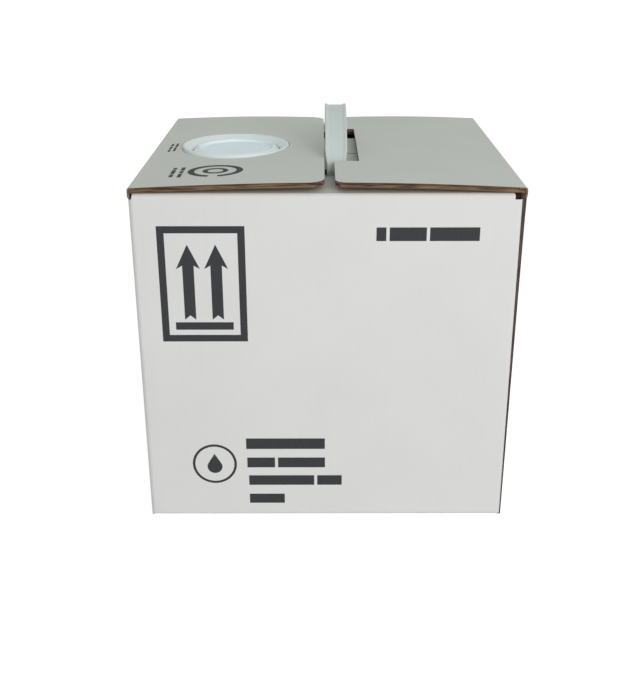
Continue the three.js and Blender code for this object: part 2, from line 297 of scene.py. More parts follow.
def paper_group():
    tree = bpy.data.node_groups.new("paper_surface", "ShaderNodeTree")
    group_socket(tree, "Vector", "NodeSocketVector")
    group_socket(tree, "Tone A", "NodeSocketColor", default=(0.7, 0.7, 0.7, 1))
    group_socket(tree, "Tone B", "NodeSocketColor", default=(0.6, 0.6, 0.6, 1))
    group_socket(tree, "Across Flutes", "NodeSocketVector", default=(1, 0, 0))
    group_socket(tree, "Flute Pitch", "NodeSocketFloat", default=7.8 * MM)
    group_socket(tree, "Washboard", "NodeSocketFloat", default=0.3)
    group_socket(tree, "Color", "NodeSocketColor", "OUTPUT")
    group_socket(tree, "Height", "NodeSocketFloat", "OUTPUT")
    group_socket(tree, "Roughness", "NodeSocketFloat", "OUTPUT")
    source = add_node(tree, "NodeGroupInput").outputs
    sink = add_node(tree, "NodeGroupOutput")
    cloud = noise_node(tree, source["Vector"], CLOUD_SCALE, 5)
    fibre = noise_node(tree, source["Vector"], FIBRE_SCALE, 3)
    across = {0: source["Vector"], 1: source["Across Flutes"]}
    dot = fed_node(tree, "ShaderNodeVectorMath", across, operation="DOT_PRODUCT")
    phase = math_node(tree, "DIVIDE", dot.outputs["Value"], source["Flute Pitch"])
    wave = math_node(tree, "SINE", math_node(tree, "MULTIPLY", phase, 2 * math.pi))
    faded = math_node(tree, "MULTIPLY", wave, cloud)
    board = math_node(tree, "MULTIPLY", faded, source["Washboard"])
    blotch = math_node(tree, "MULTIPLY", cloud, CLOUD_SHARE)
    grain = math_node(tree, "MULTIPLY", fibre, FIBRE_SHARE)
    # The washboard's lines also shift the colour: painted light and shade of the flute relief.
    painted_flute_shade = math_node(tree, "MULTIPLY", board, FLUTE_SHADE_SHARE)
    mask = math_node(tree, "ADD", math_node(tree, "ADD", blotch, grain), painted_flute_shade, clamp=True)
    rough = math_node(tree, "MULTIPLY", cloud, 0.15)
    feed(tree, sink, {
        "Color": mix_color(tree, mask, source["Tone A"], source["Tone B"]),
        "Height": math_node(tree, "ADD", grain, board),
        "Roughness": math_node(tree, "ADD", rough, PAPER_ROUGHNESS),
    })
    return tree


PAPER_SURFACE = paper_group()
print("paper group sockets:", [item.name for item in PAPER_SURFACE.interface.items_tree])

# %% [markdown]
# The white liner of the board is the same paper everywhere, but its flutes run upright in
# the panels and along X in the outer top flaps. So one function makes each paper with its own
# direction across the flutes. The copy on the flaps is painted a step darker and greener, as
# painted shade on the faces that look up.

# %% Paper materials
WHITE_A = (0.77, 0.775, 0.765, 1)
WHITE_B = (0.695, 0.7, 0.685, 1)
# Flap tones: the white tones a step darker and greener, as painted shade for faces that look up.
SHADED_FLAP_WHITE_A = (0.725, 0.765, 0.71, 1)
SHADED_FLAP_WHITE_B = (0.655, 0.69, 0.635, 1)
KRAFT_A = (0.42, 0.27, 0.15, 1)
KRAFT_B = (0.31, 0.19, 0.1, 1)
CUT_LINER_A = (0.2, 0.12, 0.06, 1)
CUT_LINER_B = (0.12, 0.07, 0.04, 1)
ACROSS_X = (1, 0, 0)
ACROSS_Y = (0, 1, 0)


def base_material(name):
    material = bpy.data.materials.new(name)
    material.use_nodes = True
    tree = material.node_tree
    return material, tree, tree.nodes["Principled BSDF"]


def object_vector(tree, scale=(1, 1, 1)):
    coords = add_node(tree, "ShaderNodeTexCoord")
    values = {"Vector": coords.outputs["Object"], "Scale": scale}
    return fed_node(tree, "ShaderNodeMapping", values).outputs["Vector"]


def bump_into(tree, shader, height, strength, distance):
    values = {"Height": height, "Strength": strength, "Distance": distance}
    bump = fed_node(tree, "ShaderNodeBump", values)
    feed(tree, shader, {"Normal": bump.outputs["Normal"]})


def paper_material(name, tone_a, tone_b, across, washboard):
    material, tree, shader = base_material(name)
    values = {
        "Vector": object_vector(tree), "Tone A": tone_a, "Tone B": tone_b,
        "Across Flutes": across, "Washboard": washboard,
    }
    paper = fed_node(tree, "ShaderNodeGroup", values, node_tree=PAPER_SURFACE).outputs
    feed(tree, shader, {
        "Base Color": paper["Color"], "Roughness": paper["Roughness"],
        "Specular IOR Level": 0.3,
    })
    bump_into(tree, shader, paper["Height"], 0.35, 0.15 * MM)
    return material


white_panel = paper_material("white_panel_paper", WHITE_A, WHITE_B, ACROSS_X, 0.22)
white_side = paper_material("white_side_paper", WHITE_A, WHITE_B, ACROSS_Y, 0.22)
shaded_white_flap = paper_material("white_flap_paper", SHADED_FLAP_WHITE_A, SHADED_FLAP_WHITE_B, ACROSS_Y, 0.3)
kraft_inside = paper_material("kraft_inside_paper", KRAFT_A, KRAFT_B, ACROSS_X, 0.4)
liner_edge = paper_material("liner_edge_paper", CUT_LINER_A, CUT_LINER_B, ACROSS_X, 0.1)
papers = (white_panel, white_side, shaded_white_flap, kraft_inside, liner_edge)
print("papers:", [material.name for material in papers])

# %% [markdown]
# The cut edges of the panels and inner flaps are narrow, so their flutes are painted, as dark
# and light streaks that run along the cut. The raw upright ends of the panels get darker tones as
# painted shade, and the slots beside the flaps are the darkest, as painted shade.

# %% Painted cut edge
ALONG_X = (1, 0, 0)
UPRIGHT = (0, 0, 1)
CUT_TONES = ((0.075, 0.045, 0.03, 1), (0.36, 0.24, 0.14, 1))
# Darker copies of the cut-edge tones, as painted shade: the raw upright ends, and the slots
# darker still.
SHADED_TONES = ((0.03, 0.018, 0.016, 1), (0.11, 0.07, 0.055, 1))
SLOT_SHADE_TONES = ((0.02, 0.014, 0.01, 1), (0.08, 0.05, 0.035, 1))
STREAK_SCALE = 650
STREAK_STRETCH = 0.06


def cut_edge_material(name, along, tones=CUT_TONES):
    material, tree, shader = base_material(name)
    stretch = tuple(STREAK_STRETCH if part else 1 for part in along)
    streak = noise_node(tree, object_vector(tree, stretch), STREAK_SCALE, 4)
    ramp = fed_node(tree, "ShaderNodeValToRGB", {"Fac": streak})
    for stop, place, tone in zip(ramp.color_ramp.elements, (0.38, 0.66), tones):
        stop.position = place
        stop.color = tone
    feed(tree, shader, {"Base Color": ramp.outputs["Color"], "Roughness": 0.9})
    bump_into(tree, shader, streak, 0.6, 0.4 * MM)
    return material


edge_upright = cut_edge_material("cut_edge_upright", UPRIGHT, SHADED_TONES)
edge_along_x = cut_edge_material("cut_edge_along_x", ALONG_X)
slot_shade_edge = cut_edge_material("slot_shade_cut_edge", ALONG_X, SLOT_SHADE_TONES)
flute_paper = cut_edge_material("flute_paper", ALONG_X)
print("cut edges:", edge_upright.name, edge_along_x.name, slot_shade_edge.name, flute_paper.name)

# %% [markdown]
# Moulded polyethylene is milky and has a soft sheen. Its surface is never quite even, so a
# broad noise moves the tone a little and a fine one gives the sheen something to break on.

# %% Plastic, foam and ink
BROAD_SCALE = 60
FINE_SCALE = 1400
SCATTER_DEPTH = 3 * MM
SPECK_SCALE = 1100
INK_TONES = ((0.028, 0.03, 0.034, 1), (0.06, 0.062, 0.066, 1))


def moulded_material(name, tone_a, tone_b, roughness, scatter):
    material, tree, shader = base_material(name)
    vector = object_vector(tree)
    broad = noise_node(tree, vector, BROAD_SCALE, 3)
    fine = noise_node(tree, vector, FINE_SCALE)
    sheen = math_node(tree, "MULTIPLY", fine, 0.14)
    feed(tree, shader, {
        "Base Color": mix_color(tree, broad, tone_a, tone_b),
        "Roughness": math_node(tree, "ADD", sheen, roughness),
        "Subsurface Weight": scatter,
        "Subsurface Radius": (SCATTER_DEPTH,) * 3,
    })
    height = math_node(tree, "ADD", math_node(tree, "MULTIPLY", fine, 0.3), broad)
    bump_into(tree, shader, height, 0.2, 0.1 * MM)
    return material


def soft_tones(name, low, high, roughness, scatter):
    return moulded_material(name, (*low, 1), (*high, 1), roughness, scatter)


cap_plastic = soft_tones("cap_plastic", (0.76, 0.93, 0.97), (0.83, 0.94, 0.95), 0.32, 0.2)
strap_plastic = soft_tones("strap_plastic", (0.58, 0.66, 0.63), (0.65, 0.72, 0.69), 0.36, 0.15)
liner_plastic = soft_tones("liner_plastic", (0.72, 0.76, 0.75), (0.8, 0.83, 0.82), 0.4, 0.2)
collar_plastic = soft_tones("collar_plastic", (0.76, 0.85, 0.83), (0.82, 0.89, 0.87), 0.38, 0.15)
seal_foam = soft_tones("seal_foam", (0.8, 0.8, 0.76), (0.88, 0.88, 0.85), 0.7, 0.0)
print("plastics ready")


def ink_material():
    material, tree, shader = base_material("black_ink")
    speck = noise_node(tree, object_vector(tree), SPECK_SCALE, 4)
    ink = mix_color(tree, speck, *INK_TONES)
    feed(tree, shader, {"Base Color": ink, "Roughness": 0.75, "Specular IOR Level": 0.2})
    return material


black_ink = ink_material()

# %% [markdown]
# The carton is one sheet that is folded and glued, so it is modelled as a ribbon of board
# which goes round the four corners. It starts at the glue tab inside the right panel, turns
# the first fold into the front panel, and ends at the right panel's raw edge beside it.

# %% Folded panels
FOLD_R = 3.5 * MM
TAB_WIDTH = 35 * MM
FOLD_STEPS = 7
RAW_EDGE_GAP = 0.35 * MM
RAW_SET_BACK = 1.7 * MM
LAP_FOLD_R = 2 * MM
LAP_TOP = 1.1 * MM
LAP_BASE = 1.8 * MM
PANEL_DRAW_IN = 1.5 * MM
SIDE_STEPS = 26
SLOT_WIDTH = 5.3 * MM
SLOT_DEPTH = 4.5 * MM
SLOT_START = HALF_W - BOARD - SLOT_WIDTH
SLOT_BACK = 4.4 * MM
CORNER_SLOT = 2.6 * MM
HAIR = 0.02 * MM
INNER_FOLD_R = 0.4 * MM
LEVELS_BETWEEN = 22
CREASE_BAND = 1.5 * MM
LAP_REACH = 12 * MM
WOBBLE = 0.35 * MM
WOBBLE_SCALE = 9
OUTSIDE, INSIDE, RAW, SIDE, SLOT = range(5)


def fold(cx, cy, start, outer, inner):
    """Matching outer and inner points round one fold, from the start angle on, clockwise."""
    outside = arc_points(cx, cy, outer, start, start - 90, FOLD_STEPS)
    inside = arc_points(cx, cy, inner, start, start - 90, FOLD_STEPS)
    return list(zip(outside, inside))


def straight(start, end, steps):
    return [
        tuple(
            (a[0] + (b[0] - a[0]) * i / steps, a[1] + (b[1] - a[1]) * i / steps)
            for a, b in zip(start, end)
        )
        for i in range(1, steps)
    ]


def ribbon_plan():
    """Outer and inner point of the ribbon all the way round, seen from above."""
    inset = BOARD + INNER_FOLD_R
    joint_x = HALF_W - BOARD - RAW_EDGE_GAP
    tab_end = -HALF_D + TAB_WIDTH
    first = [((joint_x, tab_end), (joint_x - BOARD, tab_end))]
    centre = (joint_x - LAP_FOLD_R, -HALF_D + LAP_FOLD_R)
    turn = fold(*centre, 0, LAP_FOLD_R, LAP_FOLD_R)
    inside = fold(joint_x - inset, -HALF_D + inset, 0, inset, INNER_FOLD_R)
    turn = [(outer, kept) for (outer, _), (_, kept) in zip(turn, inside)]
    left_front = fold(-HALF_W + inset, -HALF_D + inset, 270, inset, INNER_FOLD_R)
    left_back = fold(-HALF_W + inset, HALF_D - inset, 180, inset, INNER_FOLD_R)
    right_back = fold(HALF_W - inset, HALF_D - inset, 90, inset, INNER_FOLD_R)
    raw_y = -HALF_D + RAW_SET_BACK
    last = [((HALF_W, raw_y), (HALF_W - BOARD, raw_y))]
    runs = [first, turn, left_front, left_back, right_back, last]
    plan = list(first)
    for before, after in zip(runs, runs[1:]):
        plan += straight(before[-1], after[0], SIDE_STEPS)
        plan += after
    first_front = next(
        i for i, ((x, y), _) in enumerate(plan) if x < SLOT_START and y < -HALF_D + MM
    )
    slot_wall = [
        ((SLOT_START + step, -HALF_D), (SLOT_START + step, -HALF_D + BOARD))
        for step in (HAIR, -HAIR)
    ]
    return plan[:first_front] + slot_wall + plan[first_front:]


def slot_drop(x, y):
    """How far the sheet's top edge is cut down at a place, for the slots beside the flaps."""
    if abs(y) < HALF_D - SLOT_BACK:
        return 0.0
    front_slot = SLOT_START < x < HALF_W - BOARD and y < 0
    left_slot = x < -HALF_W + CORNER_SLOT
    back_slot = x > HALF_W - CORNER_SLOT and y > 0
    return SLOT_DEPTH if front_slot or left_slot or back_slot else 0.0


def panel_levels():
    """Heights of the ribbon's rings: close together at the folds, wide apart between."""
    low = [FOLD_R * (1 - math.cos(math.radians(a))) for a in range(0, 91, 15)] + [FOLD_R + MM]
    high = [WALL_TOP - value for value in reversed(low)]
    gap = high[0] - low[-1]
    between = [low[-1] + gap * i / LEVELS_BETWEEN for i in range(1, LEVELS_BETWEEN)]
    return low + between + high


def fold_inset(z):
    """How far the front and back panels draw in where they turn into their flaps."""
    for edge in (z, WALL_TOP - z):
        if edge < FOLD_R:
            return FOLD_R - math.sqrt(max(0.0, FOLD_R**2 - (FOLD_R - edge) ** 2))
    return 0.0


def drawn_in(y, z):
    """How far the right panel's raw edge leans in towards its foot, at the front."""
    down = max(0.0, 1 - z / WALL_TOP)
    return PANEL_DRAW_IN * math.sqrt(down) * max(0.0, min(1.0, -y / HALF_D))


def panel_point(x, y, z, front_or_back):
    """A point of the ribbon's outside, with its soft folds, its lap and a slight unevenness."""
    if abs(y) > HALF_D - CREASE_BAND and front_or_back:
        y -= math.copysign(fold_inset(z), y)
    spot = Vector((x * WOBBLE_SCALE, y * WOBBLE_SCALE, z * WOBBLE_SCALE))
    wobble = abs(WOBBLE * noise.noise(spot)) * math.sin(math.pi * z / WALL_TOP)
    if HALF_W - LAP_REACH < x < HALF_W - BOARD and y < -HALF_D + RAW_SET_BACK:
        near = (x - HALF_W + LAP_REACH) / (LAP_REACH - BOARD)
        x += near * (LAP_TOP + (LAP_BASE - LAP_TOP) * (1 - z / WALL_TOP))
    if x > HALF_W - MM:
        x -= drawn_in(y, z)
    if abs(x) > HALF_W - BOARD - MM and abs(y) < HALF_D - LAP_REACH:
        x -= math.copysign(wobble, x)
    return Vector((x, y, z))


def build_panels():
    plan = ribbon_plan()
    levels = panel_levels()
    count = len(plan)
    verts = []
    for level in levels:
        for outer, inner in plan:
            z = min(level, WALL_TOP - slot_drop(*outer))
            verts.append(panel_point(*outer, z, abs(outer[1]) > HALF_D - FOLD_R))
            verts.append(Vector((*inner, z)))
    faces = []
    kinds = []
    for level in range(len(levels) - 1):
        for i in range(count - 1):
            a = (level * count + i) * 2
            b, c = a + 2, a + count * 2
            d = c + 2
            faces += [(a, c, d, b), (a + 1, b + 1, d + 1, c + 1)]
            kinds += [OUTSIDE, INSIDE]
        for i, flip in ((0, False), (count - 1, True)):
            a = (level * count + i) * 2
            c = a + count * 2
            quad = (a, a + 1, c + 1, c)
            faces.append(tuple(reversed(quad)) if flip else quad)
            kinds.append(RAW)
    top = (len(levels) - 1) * count * 2
    for i, ((here, _), (after, _)) in enumerate(zip(plan, plan[1:])):
        a, b = i * 2, top + i * 2
        faces += [(a, a + 2, a + 3, a + 1), (b, b + 1, b + 3, b + 2)]
        in_slot = slot_drop(*here) > 0 or slot_drop(*after) > 0
        beside_flap = min(abs(here[0]), abs(after[0])) > HALF_W - BOARD - MM
        kinds += [OUTSIDE, SLOT if in_slot else INSIDE if beside_flap else OUTSIDE]
    materials = [white_panel, kraft_inside, edge_upright, white_side, slot_shade_edge]
    obj = new_piece("carton_panels", verts, faces, materials)
    for polygon, kind in zip(obj.data.polygons, kinds):
        sideways = kind == OUTSIDE and abs(polygon.normal.x) > MOSTLY
        polygon.material_index = SIDE if sideways else kind
    face_outwards(obj.data, SLIVER, slivers=True)
    return crease(obj)


panels = build_panels()
print("panels:", len(panels.data.polygons), "faces")

# %% [markdown]
# The inner top flaps and the bottom flaps are flat pieces of the same sheet. Their hand slots
# are holes in the outline, and the neck hole is cut with a Boolean modifier, which is how a
# die would cut it through both flaps at once.

# %% Inner flaps and bottom flaps
HAND_SLOT = (-3 * MM, 28 * MM, 63.5 * MM, 94.5 * MM)
NECK_HOLE = CAP_R + 3 * MM
NECK_CUT = 9 * MM
BOTTOM_LEFT_INSET = 4.4 * MM
BOTTOM_RIGHT_INSET = 4.8 * MM
BOTTOM_END_INSET = 4.5 * MM
BOTTOM_APART = 6 * MM
SEAM = 0.9 * MM
TOP_SEAM_Y = -2.5 * MM


def board_sheet(name, outlines, z0, z1, top, bottom, edge):
    """A flat piece of board from its outlines: white above, kraft below, cut edges round it."""
    obj = prism(name, outlines, z0, z1, [top, bottom, edge])
    for polygon in obj.data.polygons:
        up = polygon.normal.z
        polygon.material_index = 0 if up > MOSTLY else 1 if up < -MOSTLY else 2
    return obj


def inner_flaps():
    pieces = []
    low = WALL_TOP - BOARD
    hole = [circle_outline(CAP_X, CAP_Y, NECK_HOLE)]
    for end, name in ((-1, "front_inner_flap"), (1, "back_inner_flap")):
        y0, y1 = sorted((TOP_SEAM_Y + end * SEAM, end * (HALF_D - FOLD_R)))
        s0, s1 = sorted((end * HAND_SLOT[2], end * HAND_SLOT[3]))
        plan = [
            box_outline(-SLOT_START, SLOT_START, y0, y1),
            box_outline(HAND_SLOT[0], HAND_SLOT[1], s0, s1),
        ]
        flap = board_sheet(name, plan, low, WALL_TOP, shaded_white_flap, kraft_inside, edge_along_x)
        tool = prism("neck_cut", hole, WALL_TOP - NECK_CUT, WALL_TOP + MM, [edge_along_x])
        pieces.append(boolean(flap, tool, "DIFFERENCE"))
    return pieces


def bottom_flaps():
    pieces = []
    finishes = (kraft_inside, white_panel, edge_along_x)
    for end, name in ((-1, "front_bottom_flap"), (1, "back_bottom_flap")):
        y0, y1 = sorted((end * SEAM, end * (HALF_D - FOLD_R)))
        x0, x1 = -HALF_W + BOTTOM_LEFT_INSET, HALF_W - BOTTOM_RIGHT_INSET
        pieces.append(board_sheet(name, [box_outline(x0, x1, y0, y1)], 0, BOARD, *finishes))
    low = BOARD + SEAM
    y0, y1 = -HALF_D + BOTTOM_END_INSET, HALF_D - BOTTOM_END_INSET
    for side, name in ((-1, "left_bottom_flap"), (1, "right_bottom_flap")):
        x0, x1 = sorted((side * BOTTOM_APART, side * (HALF_W - BOARD + MM)))
        plan = [box_outline(x0, x1, y0, y1)]
        pieces.append(board_sheet(name, plan, low, low + BOARD, *finishes))
    return pieces


carton_pieces = [panels] + inner_flaps() + bottom_flaps()
for piece in carton_pieces:
    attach(piece, "carton")
    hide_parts("carton_body")
print("carton pieces:", [piece.name for piece in carton_pieces])

# %% [markdown]
# The outer top flaps show their cut edges to the camera, so these are built as real board:
# two thin liners with a waved medium between them. The medium follows a rule, a sine across
# the flutes, so Geometry Nodes make it, with its sizes as named inputs.

# %% Fluting as a Geometry Nodes tree
FLUTE_PITCH = 7.8 * MM
LINER_PAPER = 0.42 * MM
FLUTE_PAPER = 0.32 * MM
MARGIN = 2 * MM
GLUE_GAP = 0.02 * MM
MEDIUM_STEPS = (30, 372)


def fluting_tree():
    tree = bpy.data.node_groups.new("fluting", "GeometryNodeTree")
    tree.is_modifier = True
    for name in ("Length", "Width", "Pitch", "Rise", "Paper"):
        group_socket(tree, name, "NodeSocketFloat", default=0.01)
    group_socket(tree, "Steps Along", "NodeSocketInt", default=24)
    group_socket(tree, "Steps Across", "NodeSocketInt", default=400)
    group_socket(tree, "Material", "NodeSocketMaterial")
    group_socket(tree, "Geometry", "NodeSocketGeometry", "OUTPUT")
    source = add_node(tree, "NodeGroupInput").outputs
    sink = add_node(tree, "NodeGroupOutput")
    grid = fed_node(tree, "GeometryNodeMeshGrid", {
        "Size X": source["Length"], "Size Y": source["Width"],
        "Vertices X": source["Steps Along"], "Vertices Y": source["Steps Across"],
    })
    position = add_node(tree, "GeometryNodeInputPosition")
    split = fed_node(tree, "ShaderNodeSeparateXYZ", {0: position.outputs[0]})
    phase = math_node(tree, "DIVIDE", split.outputs["Y"], source["Pitch"])
    wave = math_node(tree, "SINE", math_node(tree, "MULTIPLY", phase, 2 * math.pi))
    lift = math_node(tree, "MULTIPLY", wave, source["Rise"])
    offset = fed_node(tree, "ShaderNodeCombineXYZ", {"Z": lift})
    waved = fed_node(tree, "GeometryNodeSetPosition", {
        "Geometry": grid.outputs["Mesh"], "Offset": offset.outputs[0],
    }).outputs[0]
    thick = fed_node(tree, "GeometryNodeExtrudeMesh", {
        "Mesh": waved, "Offset Scale": source["Paper"], "Individual": False,
    }, mode="FACES")
    turned = fed_node(tree, "GeometryNodeFlipFaces", {"Mesh": waved})
    joined = add_node(tree, "GeometryNodeJoinGeometry")
    for part in (thick, turned):
        feed(tree, joined, {0: part.outputs["Mesh"]})
    merged = fed_node(tree, "GeometryNodeMergeByDistance", {
        "Geometry": joined.outputs[0], "Distance": SLIVER,
    })
    real = fed_node(tree, "GeometryNodeRealizeInstances", {0: merged.outputs[0]})
    finish = fed_node(tree, "GeometryNodeSetMaterial", {
        "Geometry": real.outputs[0], "Material": source["Material"],
    })
    feed(tree, sink, {"Geometry": finish.outputs[0]})
    return tree


def run_tree(name, tree, values):
    """A plain mesh object made by a tree, with its inputs set by the sockets' identifiers."""
    obj = bpy.data.objects.new(name, bpy.data.meshes.new(name))
    scene.collection.objects.link(obj)
    modifier = obj.modifiers.new("nodes", "NODES")
    modifier.node_group = tree
    for item in tree.interface.items_tree:
        if item.in_out == "INPUT" and item.name in values:
            modifier[item.identifier] = values[item.name]
    bpy.context.view_layer.update()
    return apply_modifiers(obj)


FLUTING = fluting_tree()
print("fluting inputs:", [item.name for item in FLUTING.interface.items_tree])

# %% [markdown]
# Each flap is cut while it is flat: liners and medium are trimmed by one upright prism that
# holds the flap's outline with its hole. Only then are all its points lifted together, so
# the layers stay parallel as the flap springs up from its fold.

# %% Outer flaps as layered board
LEFT_EDGE = left_high[0]
RIGHT_EDGE = right_low[0]
FLAP_HOLE_R = 46.5 * MM
NOTCH_X = 26 * MM
NOTCH_Y = 70 * MM
FOLD_CLEAR = 1.6 * MM
FLAP_SWELL = 1.2 * MM
BACK_SETTLE = 0.75
DIP = 1.7 * MM
DIP_Y = -50 * MM
DIP_SPREAD = 38 * MM
DIP_FADE = 5
GAP_MIDDLE = 2 * MM
CURL_SHARE = 0.9
LEFT_CORNER_R = 13 * MM
RIGHT_CORNER_R = 9 * MM
CORNER_STEPS = 10
LEVEL_FACE = 0.8
UPPER_FINISHES = [shaded_white_flap, liner_edge, kraft_inside]
LOWER_FINISHES = [kraft_inside, liner_edge]


def flap_lift(x, y):
    """Height that a flap gains: none at the fold, most at the free edge, less at the collar."""
    if LEFT_EDGE < x < RIGHT_EDGE:
        on_right = x > GAP_MIDDLE
    else:
        on_right = x >= 0
    fold_x, edge_x = (HALF_W, RIGHT_EDGE) if on_right else (-HALF_W, LEFT_EDGE)
    t = max(0.0, min(1.0, (x - fold_x) / (edge_x - fold_x)))
    rise = SPRING_UP * (CURL_SHARE * (1 - (1 - t) ** 2) + (1 - CURL_SHARE) * t)
    back = (y + HALF_D) / (2 * HALF_D)
    swell = FLAP_SWELL * math.sin(math.pi * t) * back**2
    settle = 1 - BACK_SETTLE * back**3
    apart = ((x - CAP_X) ** 2 + (y - DIP_Y) ** 2) / (2 * DIP_SPREAD**2)
    return rise * settle + swell - DIP * math.exp(-apart) * min(1.0, t * DIP_FADE)


def sheet_grid(name, x0, x1, y0, y1, z0, z1, materials, nx=40, ny=72):
    """A closed slab with enough rows to bend: one grid above, one below, and four sides."""
    verts = []
    for z in (z1, z0):
        for j in range(ny + 1):
            for i in range(nx + 1):
                verts.append((x0 + (x1 - x0) * i / nx, y0 + (y1 - y0) * j / ny, z))
    layer = (nx + 1) * (ny + 1)
    faces = []
    for j in range(ny):
        for i in range(nx):
            a = j * (nx + 1) + i
            b, c, d = a + 1, a + nx + 2, a + nx + 1
            faces.append((a, b, c, d))
            faces.append((d + layer, c + layer, b + layer, a + layer))
    rim = [j * (nx + 1) for j in range(ny + 1)]
    other = [j * (nx + 1) + nx for j in range(ny + 1)]
    front = list(range(nx + 1))
    back = [ny * (nx + 1) + i for i in range(nx + 1)]
    for line, flip in ((rim, True), (other, False), (front, False), (back, True)):
        for a, b in zip(line, line[1:]):
            quad = (a, a + layer, b + layer, b)
            faces.append(tuple(reversed(quad)) if flip else quad)
    return new_piece(name, verts, faces, materials, smooth=False)


def flap_outline(fold_x, edge_x, radius):
    """A flap seen from above, square at its fold and rounded at its two free corners."""
    side = 1 if edge_x > fold_x else -1
    cx = edge_x - side * radius
    low, high = -HALF_D + radius, HALF_D - radius
    front = arc_points(cx, low, radius, 270, 270 + 90 * side, CORNER_STEPS)
    back = arc_points(cx, high, radius, 90 - 90 * side, 90, CORNER_STEPS)
    return [(fold_x, -HALF_D)] + front + back + [(fold_x, HALF_D)]


def notched(outline, edge_x):
    """The same outline with the hand notch cut into its free edge."""
    result = []
    placed = False
    for point in outline:
        if not placed and point[1] > 0:
            result += [(edge_x, -NOTCH_Y), (NOTCH_X, -NOTCH_Y)]
            result += [(NOTCH_X, NOTCH_Y), (edge_x, NOTCH_Y)]
            placed = True
        result.append(point)
    return result


def layered_flap(name, fold_x, edge_x, outlines):
    """Two liners and the medium between them, each trimmed by one upright prism."""
    x0, x1 = sorted((fold_x, edge_x))
    base = FLAP_UNDER
    top = base + BOARD
    area = (x0 - MARGIN, x1 + MARGIN, -HALF_D - MARGIN, HALF_D + MARGIN)
    upper = sheet_grid(name + "_upper", *area, top - LINER_PAPER, top, UPPER_FINISHES)
    lower = sheet_grid(name + "_lower", *area, base, base + LINER_PAPER, LOWER_FINISHES)
    inner = BOARD - 2 * LINER_PAPER
    medium = run_tree(name + "_medium", FLUTING, {
        "Length": area[1] - area[0],
        "Width": area[3] - area[2],
        "Pitch": FLUTE_PITCH,
        "Rise": (inner - FLUTE_PAPER) / 2 - GLUE_GAP,
        "Paper": FLUTE_PAPER,
        "Steps Along": MEDIUM_STEPS[0],
        "Steps Across": MEDIUM_STEPS[1],
        "Material": flute_paper,
    })
    middle = Vector(((area[0] + area[1]) / 2, 0, (base + top) / 2 - FLUTE_PAPER / 2))
    for vertex in medium.data.vertices:
        vertex.co += middle
    die = prism("die", outlines, base - MM, top + MM, [liner_edge])
    layers = [upper, lower, medium]
    for layer, finishes in zip(layers, (UPPER_FINISHES, LOWER_FINISHES, [flute_paper])):
        boolean(layer, die, "INTERSECT", keep_tool=True)
        layer.data.materials.clear()
        for finish in finishes:
            layer.data.materials.append(finish)
    bpy.data.objects.remove(die)
    return layers


def finish_layers(layers, name):
    """Marks the cut faces, lifts every point, and joins the layers into one piece."""
    upper, _, medium = layers
    for layer in layers:
        for polygon in layer.data.polygons:
            up = polygon.normal.z
            cut = layer != medium and abs(up) <= LEVEL_FACE
            under = layer == upper and up <= 0
            polygon.material_index = 1 if cut else 2 if under else 0
            polygon.use_smooth = False
        for vertex in layer.data.vertices:
            vertex.co.z += flap_lift(vertex.co.x, vertex.co.y)
    with bpy.context.temp_override(
        active_object=upper, selected_editable_objects=layers, object=upper
    ):
        bpy.ops.object.join()
    upper.name = name
    return upper


def left_flap():
    fold_x = -HALF_W + FOLD_CLEAR
    outline = flap_outline(fold_x, LEFT_EDGE, LEFT_CORNER_R)
    outlines = [outline, circle_outline(CAP_X, CAP_Y, FLAP_HOLE_R)]
    layers = layered_flap("left_board", fold_x, LEFT_EDGE, outlines)
    return finish_layers(layers, "left_flap_board")


def right_flap():
    fold_x = HALF_W - FOLD_CLEAR
    outline = flap_outline(fold_x, RIGHT_EDGE, RIGHT_CORNER_R)
    layers = layered_flap("right_board", fold_x, RIGHT_EDGE, [notched(outline, RIGHT_EDGE)])
    return finish_layers(layers, "right_flap_board")


for piece, body, node in (
    (left_flap(), "left_flap", "left_top_flap"),
    (right_flap(), "right_flap", "right_top_flap"),
):
    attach(piece, body)
    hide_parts(node)
    print(piece.name, len(piece.data.polygons), "faces")

# %% [markdown]
# The board is scored where a side panel turns into its outer flap. A rounded strip of it
# crosses each fold, and blends from the carton to the flap.

# %% Fold strips
STRIP_T = 1.4 * MM
STRIP_R = 1.7 * MM
STRIP_TUCK = 0.12 * MM
STRIP_PROUD = 0.1 * MM
STRIP_LOW = WALL_TOP - 3 * MM
STRIP_REACH = 6 * MM
STRIP_ROWS = 48
STRIP_END_GAP = 0.2 * MM
STRIP_WALL_STEPS = 4
STRIP_TURN_STEPS = 8
STRIP_WALL_POINTS = STRIP_WALL_STEPS + 1 + STRIP_TURN_STEPS // 2
SOFT_EDGE = 50


def strip_line(inset):
    """Points (distance from the carton's middle, height) over one fold, set in by an amount."""
    out = HALF_W + STRIP_PROUD
    top = FLAP_UNDER + BOARD + STRIP_PROUD
    points = [
        (out - inset, STRIP_LOW + (FLAP_UNDER - STRIP_LOW) * i / STRIP_WALL_STEPS)
        for i in range(STRIP_WALL_STEPS + 1)
    ]
    turn_x, turn_z = out - STRIP_R, top - STRIP_R
    points += arc_points(turn_x, turn_z, STRIP_R - inset, 0, 90, STRIP_TURN_STEPS)
    points += [(turn_x - (STRIP_REACH - STRIP_R) * i / 3, top - inset) for i in (1, 2, 3)]
    tuck = STRIP_PROUD + STRIP_TUCK
    points[0] = (points[0][0] - tuck, points[0][1])
    points[-1] = (points[-1][0], points[-1][1] - tuck)
    return points


